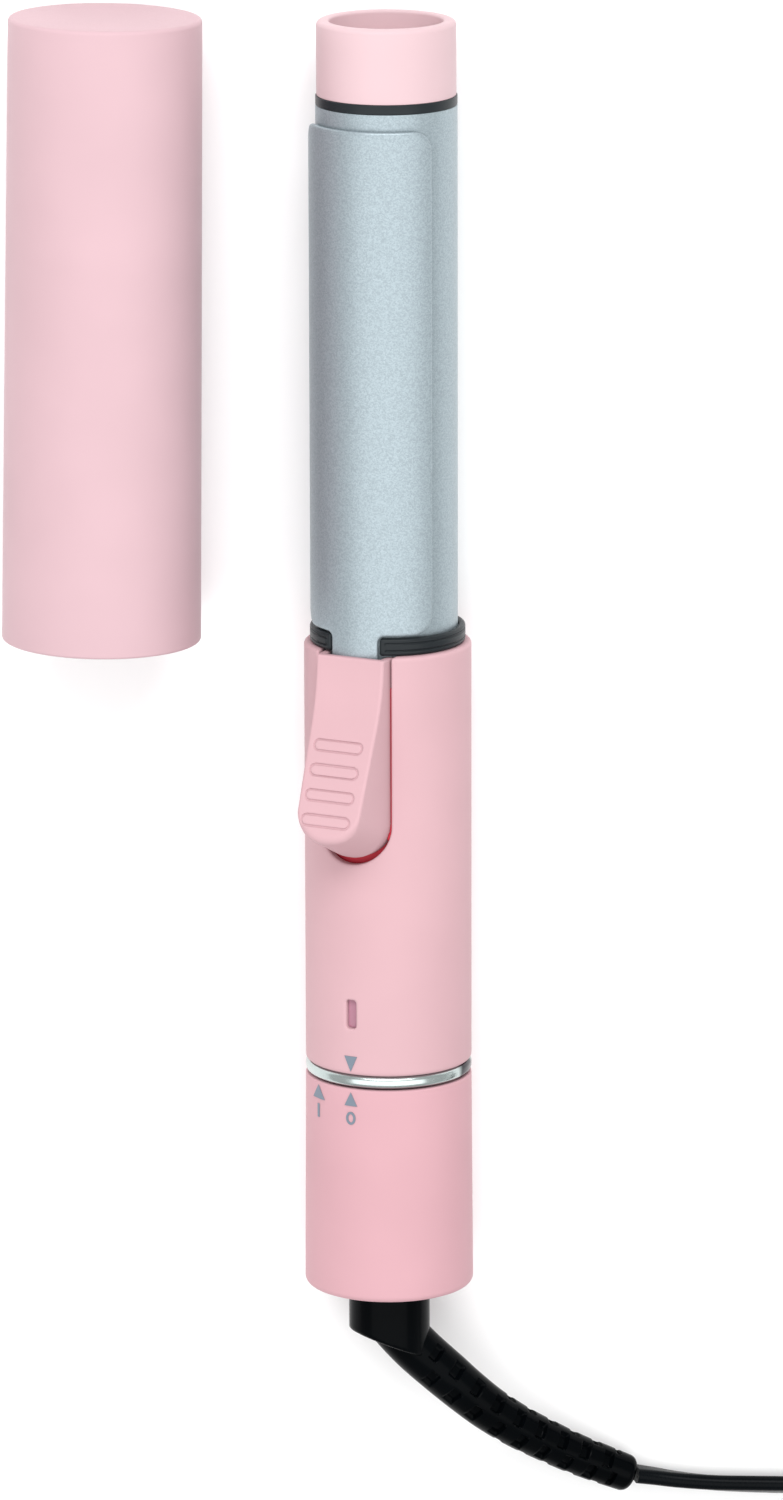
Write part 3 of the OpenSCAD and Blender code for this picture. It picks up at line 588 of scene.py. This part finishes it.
def make_plug():
    """Flat two-pin plug with grip ribs on its sides and a ringed tapered relief."""
    shoulder, rear = 18.0, 7.0               # length of the sloping sides, half width behind them
    rib_pitch, ribs_low, ribs_high = 3.4, 8, 29
    ring_pitch, rings_low, rings_high, ring_depth = 3.2, 2, 18.5, 0.45
    cone_r, cone_grows, cone_len, grip_slope = 3.3, 2.3, 26, 0.57
    full = PLUG_W / 2
    slope = math.atan2(full - rear, shoulder)

    def distance(p):
        x, y, l = np.abs(p[:, 0]), p[:, 1], p[:, 2] - PLUG_RELIEF
        side = np.maximum(x - full, ((x - rear) - l * math.tan(slope)) * math.cos(slope))
        plan = both(side, np.abs(l - PLUG_LEN / 2) - PLUG_LEN / 2, 2.2)
        body = both(plan, slab(y, PLUG_T / 2), 2.6)
        from_rib = np.abs((l - 11) % rib_pitch - rib_pitch / 2) - 0.4
        from_side = x - full - 0.7 + (shoulder - l).clip(0) * grip_slope
        grip = length2(np.maximum(from_rib, 0), from_side)
        body = np.maximum(body, np.where((l > ribs_low) & (l < ribs_high), 1.0 - grip, -1))
        along = p[:, 2]
        on_rings = (along > rings_low) * (along < rings_high)
        rings = ring_depth * (np.abs((along % ring_pitch) - ring_pitch / 2) < 0.5) * on_rings
        cone = length2(p[:, 0], p[:, 1]) - (cone_r + cone_grows * along / (PLUG_RELIEF + 4)) + rings
        cone = both(cone * 0.96, between(along, 0, cone_len), 0.6)
        return either(body, cone, 1.5)

    points, faces = net(distance, (-18.5, -7.5, -0.8), (18.5, 7.5, 56), 0.5)
    plug = make_mesh("plug_body_moulded", place_plug(points), faces, CORD, "root", 60, merge=0)
    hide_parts("plug_body")
    face = PLUG_RELIEF + PLUG_LEN
    pieces = [plug]
    for label, look, r, low, high, tip in (
            ("plug_pin_tips", PIN, 2.0, face + 9.5, face + 19, 1.2),
            ("plug_pin_sleeves", BLACK, 1.9, face - 0.5, face + 9.6, 0.1)):
        verts, faces = [], []
        outline = rounded([(0.01, low), (r, low), (r, high), (0.01, high)], [0, 0, tip, 0])
        n, seg = len(outline), 40
        for side in (-1, 1):
            base = len(verts)
            for i in range(seg):
                a = 2 * math.pi * i / seg
                verts += [(side * PIN_GAP / 2 + q * math.cos(a), q * math.sin(a), l)
                          for q, l in outline]
                k = (i + 1) % seg
                faces += [(base + i * n + j, base + i * n + (j + 1) % n,
                           base + k * n + (j + 1) % n, base + k * n + j) for j in range(n)]
        pins = make_mesh(label, place_plug(verts), faces, look, "root", 40)
        pieces.append(pins)
    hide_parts("plug_pins")
    return pieces


def make_tie():
    """A strap round the turns, with its free end folded over."""
    w = TURN_PITCH * (TURNS_ACROSS - 1) + CORD_T + 0.1
    h = LAYER_Z[1] + CORD_W / 2 + TIE_T / 2
    tab_x, tab_gap, tab_half = 2.0, 0.25, (5.5, 0.45, TIE_W / 2 - 0.3)

    def distance(p):
        q = p - np.array((0, (h + TIE_T) / 2, 0))
        outside = boxed(q, (w / 2 + TIE_T, (h + TIE_T) / 2, TIE_W / 2), 0.35)
        plan = boxed(np.stack([q[:, 0], q[:, 1]], 1), (w / 2, (h - TIE_T) / 2), 0.9)
        band = both(outside, -plan, 0.2)
        tab = boxed(p - np.array((tab_x, h + TIE_T + tab_gap, 0)), tab_half, 0.3)
        return either(band, tab, 0.2)

    points, faces = net(distance, (-w / 2 - 2, -0.6, -TIE_W / 2 - 0.6),
                        (w / 2 + 2, h + TIE_T + 1.6, TIE_W / 2 + 0.6), 0.28)
    c, s = math.cos(TIE_ANGLE), math.sin(TIE_ANGLE)
    across = COIL_R + points[:, 0]
    placed = np.stack([COIL_AT[0] + across * c - points[:, 2] * s,
                       COIL_AT[1] + across * s + points[:, 2] * c, points[:, 1]], 1)
    tie = make_mesh("cord_tie_strap", on_floor(placed), faces, TIE, "root", 60, merge=0)
    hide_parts("cord_tie")
    return tie


def place_upright(p):
    """Points of the swivel: to the right, up and along, from the iron's axis."""
    p = np.asarray(p, float)
    return np.stack([AXIS_X + p[:, 0] * MM, FOOT_Y + p[:, 2] * MM, AXIS_Z + p[:, 1] * MM], 1)


def make_gland():
    """The black sleeve at the foot: its end slants to the side and leans back a little."""
    r, top, cut_s, cut, lean = 7.6, 2.3, -9.6, math.radians(21), 0.2
    socket_r, socket_s = 6.05, 0.5

    def distance(p):
        x, y, s = p.T
        slant = (-s + cut_s - (x + r) * math.tan(cut) + lean * y) * math.cos(cut)
        ends = np.maximum(slant, s - top)
        socket = np.maximum(length2(x, y) - socket_r, socket_s - s)
        return np.maximum(both(length2(x, y) - r, ends, 0.5), -socket)

    points, faces = net(distance, (-8.2, -8.2, -17), (8.2, 8.2, 3), 0.35)
    gland = make_mesh("swivel_gland_moulded", place_upright(points), faces, BLACK, "swivel", 60,
                      merge=0)
    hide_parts("swivel_gland")
    return gland


def make_relief():
    """Curved strain relief with five rows of staggered slots."""
    outward, end_len, end_r = 0.4, 1.6, 1.9
    line = smooth_line(RELIEF_ROUTE, 0.22)
    way = np.gradient(line, axis=0)
    across = np.stack([way[:, 1], -way[:, 0]], 1) / length2(way[:, 0], way[:, 1])[:, None]
    line[:, :2] += outward * across
    along = length_along(line)
    total = along[-1]
    knots = length_along(np.array(RELIEF_ROUTE))
    radius = np.interp(along, knots * total / knots[-1], RELIEF_R)
    end_round = np.clip((along - (total - end_len)) / end_len, 0, 1)
    radius = radius - (radius - end_r) * (1 - np.sqrt(1 - end_round ** 2 * 0.999))
    pitch, slot_half, slot_half_turn, depth, soft = 5.4, 0.75, 1.45, 0.95, 0.35
    first_slot, last_slot = 11, total - 4
    segments = 120
    phi = np.arange(segments) * 2 * math.pi / segments
    # Each row's turn about the relief, its shift by part of a pitch and where its slots begin.
    rows = [(math.radians(a), shift, start) for a, shift, start in (
        (172, 0.0, 30), (112, 0.5, 10.2), (52, 0.0, 10.2), (-8, 0.5, 27), (232, 0.5, 10.2))]

    def edge(v, half):
        t = np.clip((half + soft - v) / soft, 0, 1)
        return t * t * (3 - 2 * t)

    def section(k):
        cut = np.zeros(segments)
        for centre, shift, start in rows:
            phase = ((along[k] - first_slot) / pitch + shift) % 1
            near = min(phase, 1 - phase) * pitch
            turn = np.abs((phi - centre + math.pi) % (2 * math.pi) - math.pi) * radius[k]
            live = start < along[k] < last_slot
            cut = np.maximum(cut, live * edge(near, slot_half) * edge(turn, slot_half_turn))
        r = radius[k] - depth * cut
        return np.stack([r * np.cos(phi), r * np.sin(phi)], 1)

    relief = sweep("strain_relief_ribbed", line, section, BLACK, body="swivel")
    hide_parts("strain_relief")
    return relief


cord, cord_line = make_cord()
relief, gland, tie = make_relief(), make_gland(), make_tie()
plug_pieces = make_plug()


# ---------------------------------------------------------------- turned pieces of the iron
HANDLE_R, HANDLE_IN, HANDLE_LOW, HANDLE_HIGH = 15.5, 13.7, 43.8, 123.7
SLEEVE_HIGH, SLEEVE_LOW_R = 41.1, 15.8
BARREL_R, BARREL_IN, BARREL_LOW, BARREL_END = 13.0, 12.0, 117.0, 224.0
BAND_HIGH, TIP_HIGH = 225.8, 239.5


def piece(obj, slot, *nodes):
    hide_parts(*nodes)
    return obj


def make_sleeve():
    """The twist sleeve, with the inner ridge that holds it on the frame."""
    inside, floor, hole, ridge = 13.8, 2.0, 8.0, 9.6
    ridge_low, ridge_high = 18, 21
    outline = rounded(
        [(hole, 0), (SLEEVE_LOW_R, 0), (HANDLE_R, SLEEVE_HIGH), (inside, SLEEVE_HIGH),
         (inside, ridge_high), (ridge, ridge_high), (ridge, ridge_low), (inside, ridge_low),
         (inside, floor), (hole, floor)],
        [0.3, 1.2, 0.35, 0.2, 0, 0, 0, 0, 0, 0.2])
    piece(lathe("twist_sleeve_moulded", outline, SLEEVE_PINK, "twist"), "pink_satin", "twist_sleeve")


def make_ring():
    low, high, edge = SLEEVE_HIGH + 0.3, HANDLE_LOW - 0.05, 0.9
    outline = rounded([(HANDLE_IN, low), (HANDLE_R, low), (HANDLE_R, high), (HANDLE_IN, high)],
                      [0, edge, edge, 0], 12)
    ring = lathe("chrome_ring_turned", outline, CHROME, "root", segments=220)
    piece(ring, "chrome_trim", "chrome_ring")


def make_barrel():
    """The silver barrel tube and the black band between it and the tip."""
    outline = rounded([(BARREL_IN, BARREL_LOW), (BARREL_R, BARREL_LOW), (BARREL_R, BARREL_END),
                       (BARREL_IN, BARREL_END)], [0, 0.1, 0.15, 0])
    tube = lathe("barrel_tube_turned", outline, SILVER, "root", segments=220)
    piece(tube, "silver_coat", "barrel_tube")
    outline = rounded([(BARREL_IN, BARREL_END), (BARREL_R, BARREL_END), (BARREL_R, BAND_HIGH),
                       (BARREL_IN, BAND_HIGH)], [0, 0.2, 0.2, 0])
    band = lathe("insulating_band_turned", outline, TRIM, "root")
    piece(band, "black_gloss", "insulating_band")


def make_tip():
    """The cool tip: a plug inside the barrel and a plain dish in its end."""
    near_axis, outside, dish_r, dish_floor, wall = 0.01, 12.8, 10.4, 231.5, 2.0
    plug_r, plug_in, plug_low, plug_high = 11.95, 9.95, 213, 227.5
    outline = rounded(
        [(near_axis, dish_floor - wall), (dish_r, dish_floor), (dish_r, TIP_HIGH), (outside, TIP_HIGH),
         (outside, BAND_HIGH), (plug_r, BAND_HIGH), (plug_r, plug_low), (plug_in, plug_low),
         (plug_in, plug_high), (near_axis, plug_high)],
        [0, 0.8, 0.5, 0.9, 0.15, 0, 0, 0, 0, 0])
    outline[0] = (near_axis, dish_floor)      # lifts the dish's middle level with its rounded corner
    tip = lathe("tip_cap_moulded", outline, TIP_PINK_LIT, "root", segments=220)
    piece(tip, "tip_pink", "tip_cap")


COVER_LEN, COVER_R, COVER_TOP_R, COVER_S = 115.7, 18.4, 17.7, 124.7
COVER_OFF = (52.9, 51.1)                 # its distance from the iron's axis, at each end


def place_cover(p):
    """Points of the cover (side, up, along its own axis) where it lies beside the iron."""
    yaw = math.asin((COVER_OFF[0] - COVER_OFF[1]) / COVER_LEN)
    pitch = math.asin((COVER_R - COVER_TOP_R) / COVER_LEN)
    base = np.array([AXIS_X - COVER_OFF[0] * MM, FOOT_Y + COVER_S * MM, COVER_R * MM])
    along = np.array([math.sin(yaw) * math.cos(pitch), math.cos(yaw) * math.cos(pitch),
                      -math.sin(pitch)])
    side = np.array([math.cos(yaw), -math.sin(yaw), 0])
    up = np.cross(side, along)
    return base + MM * (p[:, :1] * side + p[:, 1:2] * up + p[:, 2:] * along)


def make_cover():
    """The loose cover: a plain tapered cup, open at its foot."""
    wall, top = 1.8, 1.8
    shape = rounded(
        [(0.01, COVER_LEN), (COVER_TOP_R, COVER_LEN), (COVER_R, 0), (COVER_R - wall, 0),
         (COVER_TOP_R - wall, COVER_LEN - top), (0.01, COVER_LEN - top)],
        [0, 0.8, 0.5, 0.35, 0.6, 0], 10)
    cover = lathe("barrel_cover_moulded", shape, COVER_PINK, "cover", place_cover, 220)
    piece(cover, "cover_pink", "barrel_cover")


# ---------------------------------------------------------------- moulded pieces of the iron
SLOT_HALF, SLOT_ROUND = 7.45, 91.6
WINDOW_S, WINDOW_HALF_LEN, WINDOW_HALF_W, WINDOW_CORNER = 55.45, 2.75, 1.0, 0.5
SEAT_R = 14.4


def make_handle():
    """The handle's tube, with the lever's slot and the lens window cut in its front."""
    radius, edge, lip = HANDLE_R, 0.4, 2.4

    def distance(q):
        p = round_the_iron(radius, q)
        x, rho, s, r = p[:, 0], p[:, 1], p[:, 2], q[:, 1]
        outside = both(r - HANDLE_R, between(s, HANDLE_LOW, HANDLE_HIGH), 0.7)
        bore = np.minimum(r - (BARREL_R + 0.05), np.maximum(r - HANDLE_IN, s - (HANDLE_HIGH - lip)))
        shell = both(outside, -bore, 0.12)
        slot = slot_wall(x, s)
        from_side = np.maximum(slab(x, WINDOW_HALF_W - WINDOW_CORNER), 0)
        from_end = np.maximum(slab(s - WINDOW_S, WINDOW_HALF_LEN - WINDOW_CORNER), 0)
        window = length2(from_side, from_end) - WINDOW_CORNER
        front = rho > 0
        shell = both(shell, np.where(front, -slot, -50), edge)
        return both(shell, np.where(front, -window, -50), 0.12)

    cells = round(2 * math.pi * radius / 0.4)
    half = math.pi * radius
    points, faces = net(distance, (-half, 12.6, 43.3), (half, 16.1, 124.3),
                        (2 * half / cells, 0.3, 0.4), True)
    handle = make_mesh("handle_shell_moulded", iron_points(round_the_iron(radius, points)), faces,
                       PINK, "root", None, merge=0)
    piece(handle, "pink_satin", "handle_shell")


def make_collar():
    """The black collar round the barrel's foot, open where the clamp's tongue passes."""
    radius, low, high, out_r = HANDLE_IN, HANDLE_HIGH + 0.05, 127.0, SEAT_R
    in_r, corner, edge = BARREL_R + 0.03, 0.5, 0.55
    groove_in, groove_half, groove_depth = 0.95, 0.13, 0.25
    half_gap = math.radians(20.8)
    reach = (math.pi - half_gap) * radius

    def distance(q):
        a, r, s = q.T
        from_end = np.maximum(np.abs(a) - (reach - corner), 0)
        from_side = np.maximum(between(s, low + corner, high - corner), 0)
        plan = length2(from_end, from_side) - corner
        inner = np.maximum(between(s, low, high), np.abs(a) - reach)
        plan = np.where(plan > 0.1 - corner, plan, np.maximum(inner, -1.2))
        solid = both(plan, between(r, in_r, out_r), edge)
        groove = np.abs(np.maximum(inner, -3) + groove_in) - groove_half
        return np.maximum(solid, -np.maximum(groove, out_r - groove_depth - r))

    points, faces = net(distance, (-reach - 1, 12.6, low - 0.6), (reach + 1, 14.9, high + 0.6),
                        (0.3, 0.15, 0.2))
    points = points + (math.pi * radius, 0, 0)
    collar = make_mesh("heat_collar_moulded", iron_points(round_the_iron(radius, points)), faces,
                       TRIM, "root", None, merge=0)
    piece(collar, "black_gloss", "heat_collar")


def make_spoon():
    """The clamp's sheet over the barrel, with a narrower tongue down to the lever."""
    radius, inside, thick = 13.8, 13.3, 1.0
    half, tongue = math.radians(63) * radius, math.radians(19.5) * radius
    wide_low, tongue_low, high, corner = 127.4, 104.8, 221.0, 4.0

    def distance(q):
        a, r, s = q.T
        mid, reach = (wide_low + high) / 2, (high - wide_low) / 2
        x, y = np.abs(a) - (half - corner), slab(s - mid, reach - corner)
        sheet = length2(np.maximum(x, 0), np.maximum(y, 0)) + np.minimum(np.maximum(x, y), 0) - corner
        strip = both(np.abs(a) - tongue, between(s, tongue_low, wide_low + 6), 0.6)
        return both(either(sheet, strip, 1.2), between(r, inside, inside + thick), 0.4)

    points, faces = net(distance, (-half - 0.8, 12.9, 104), (half + 0.8, 14.7, 221.8), (0.35, 0.2, 0.4))
    spoon = make_mesh("clamp_spoon_pressed", iron_points(round_the_iron(radius, points)), faces,
                      SILVER, "clamp", None, merge=0)
    piece(spoon, "silver_coat", "clamp_spoon")


RAMP_SLOPE, RAMP_S, RAMP_RISE = 0.411, 110.7, 2.67
LEVER_HIGH, LEVER_UNDER = 123.4, 11.0
LEVER_END = 85.6                         # where the round end leaves the handle's surface
GROOVE_FIRST, GROOVE_PITCH = 94.4, 4.33


def lever_face(s):
    """Height of the lever's face at s, and how much longer its slope is than its run."""
    run = HANDLE_HIGH - RAMP_S
    up = np.clip(HANDLE_HIGH - s, 0, run) / run
    height = HANDLE_R + RAMP_RISE * up ** 2 + RAMP_SLOPE * np.maximum(RAMP_S - s, 0)
    slope = np.where(s > RAMP_S, 2 * RAMP_RISE * up / run, RAMP_SLOPE)
    return height, np.sqrt(1 + slope ** 2)


def lever_plan(x, rho, s):
    """Distance to the lever's walls: sides with draft and a round end that leans back."""
    half_width, draft, round_len, lean, power, end_scale = 7.03, 0.055, 7.0, 0.41, 2.2, 0.93
    width = half_width - draft * (rho - BARREL_R)
    middle = LEVER_END + round_len + (np.maximum(rho, HANDLE_R) - HANDLE_R) * lean
    below = np.maximum(middle - s, 0)
    reach = (np.abs(x) / width) ** power + (below / (width + 0.1)) ** power
    return (reach ** (1 / power) - 1) * width * np.where(below > 0, end_scale, 1)


def make_lever():
    """The hollow thumb lever, with four long grooves outlined across its face."""
    wall, last_groove = 1.4, 3
    groove_x, groove_half, groove_r = -0.4, 3.9, 1.03
    line_half, line_depth = 0.17, 0.3
    edge, end_edge, end_s, end_len = 0.5, 0.9, 96, 4         # the face's edge is rounder at the end

    def distance(p):
        x, rho, s = p.T
        height, longer = lever_face(s)
        top = (rho - height) / longer
        plan = lever_plan(x, rho, s)
        end = np.clip((end_s - s) / end_len, 0, 1)
        block = both(top, plan, edge + end_edge * end * end * (3 - 2 * end))
        shell = np.maximum(block, -(block + wall))
        shell = both(shell, np.maximum(LEVER_UNDER - rho, s - LEVER_HIGH), 0.35)
        place = np.clip(np.round((s - GROOVE_FIRST) / GROOVE_PITCH), 0, last_groove)
        near = (s - GROOVE_FIRST - GROOVE_PITCH * place) * longer
        bar = length2(np.maximum(np.abs(x - groove_x) - groove_half, 0), near) - groove_r
        line = np.abs(bar) - line_half
        return both(shell, -np.maximum(line, -(top + line_depth)), 0.06)

    points, faces = net(distance, (-7.9, 10.6, 84.6), (7.9, 27.3, 123.9), (0.2, 0.2, 0.17))
    lever = make_mesh("thumb_lever_moulded", iron_points(points), faces, PINK, "clamp", None, merge=0)
    piece(lever, "pink_satin", "thumb_lever")


def slot_wall(x, s):
    """Distance to the lever's slot in the handle: straight sides with a round end."""
    return length2(x, np.minimum(s - SLOT_ROUND, 0)) - SLOT_HALF


def make_lever_edges():
    """Two thin dark red pieces in the gap round the lever, painted shade: a skirt under it, a strip
    beside it.
    """
    radius = BARREL_R
    skirt_past, skirt_in, skirt_high, skirt_r = 1.1, 0.9, 100, (12.65, 13.45)
    strip_gap, lever_gap, strip_s, strip_r = 0.08, 0.04, (89, 118), (13.0, 14.9)

    def flange(q):
        x, rho, s = round_the_iron(radius, q).T
        plan = np.maximum(slot_wall(x, s) - skirt_past, s - skirt_high)
        plan = np.maximum(plan, -(lever_plan(x, rho, s) + skirt_in))
        return both(plan, between(q[:, 1], *skirt_r), 0.2)

    def shade_strip(q):
        x, rho, s = round_the_iron(radius, q).T
        across = np.maximum(slot_wall(x, s) + strip_gap, lever_gap - lever_plan(x, rho, s))
        return np.maximum(np.maximum(across, between(s, *strip_s)), between(q[:, 1], *strip_r))

    # both pieces carry the painted gap shade
    for label, distance, low, high, step in (
            ("lever_shade_skirt", flange, (-10, 12.3, 82.4), (10, 13.8, 100.8), (0.3, 0.15, 0.3)),
            ("lever_shade_strip", shade_strip, (-8, 12.8, 88.4), (8, 15.1, 118.6), (0.09, 0.3, 0.3))):
        points, faces = net(distance, low, high, step)
        edge = make_mesh(label, iron_points(round_the_iron(radius, points)), faces, GAP_SHADE_RED,
                         "clamp", None, merge=0)


def make_spring():
    """The coil spring under the lever."""
    turns, wire, r, low, high, at = 7, 0.4, 3.5, 2.5, 19.2, 97
    steps_a_turn, sides = 40, 10
    n = turns * steps_a_turn
    t = np.arange(n + 1) / n
    a = 2 * math.pi * turns * t
    rise = low + wire + (high - low - 2 * wire) * t
    line = np.stack([r * np.cos(a), rise, at + r * np.sin(a)], 1)
    ring = np.arange(sides) * 2 * math.pi / sides
    way = np.gradient(line, axis=0)
    way /= np.linalg.norm(way, axis=1, keepdims=True)
    out = line - np.stack([0 * t, line[:, 1], at + 0 * t], 1)
    out /= np.linalg.norm(out, axis=1, keepdims=True)
    third = np.cross(way, out)
    round_wire = np.cos(ring)[:, None] * out[:, None] + np.sin(ring)[:, None] * third[:, None]
    verts = line[:, None] + wire * round_wire
    ends = [tuple(range(sides)), tuple(range(n * sides, (n + 1) * sides))]
    faces = grid_faces(n + 1, sides, wrap=True) + ends
    spring = make_mesh("lever_spring_wire", iron_points(verts.reshape(-1, 3)), faces, STEEL, "root", 60)
    front = iron_points([(0, 1, 0)])[0] - iron_points([(0, 0, 0)])[0]
    foot = iron_points([(0, low, at)])[0]
    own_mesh(spring)
    piece(spring, "steel", "lever_spring")


make_sleeve()
make_ring()
make_barrel()
make_tip()
make_cover()
make_handle()
make_collar()
make_spoon()
make_lever()
make_lever_edges()
make_spring()


# ---------------------------------------------------------------- floor and lights
def make_stage():
    """A pale floor, a white surround and two area lights aimed at the origin."""
    floor_mat, tree, shader, where = new_material("floor_paper")
    tree.links.new(ramp(tree, noise(tree, where, 3), (0.93, 0.93, 0.93), (0.95, 0.95, 0.95)),
                   shader.inputs["Base Color"])
    shader.inputs["Roughness"].default_value = 0.8
    half = 3.0
    mesh = bpy.data.meshes.new("floor")
    corners = [(-half, -half, 0), (half, -half, 0), (half, half, 0), (-half, half, 0)]
    mesh.from_pydata(corners, [], [(0, 1, 2, 3)])
    mesh.materials.append(floor_mat)
    floor = bpy.data.objects.new("floor", mesh)
    bpy.context.scene.collection.objects.link(floor)

    world = bpy.data.worlds.new("studio")
    bpy.context.scene.world = world
    world.use_nodes = True
    back = world.node_tree.nodes["Background"]
    back.inputs["Color"].default_value = (1, 1, 1, 1)
    back.inputs["Strength"].default_value = 0.66
    bpy.context.scene.view_settings.view_transform = "Standard"

    for name, place, size, radiance in (
            ("panel", (0.0, -0.24, 1.0), (2.4, 0.8), 1.7),
            ("head", (0.0, 0.95, 1.0), (1.4, 0.5), 7.0)):
        data = bpy.data.lights.new(name, "AREA")
        data.shape, data.size, data.size_y = "RECTANGLE", *size
        data.energy = radiance * math.pi * size[0] * size[1]
        lamp = bpy.data.objects.new(name, data)
        lamp.location = place
        lamp.rotation_euler = (-Vector(place)).to_track_quat("-Z", "Y").to_euler()
        bpy.context.scene.collection.objects.link(lamp)


make_stage()
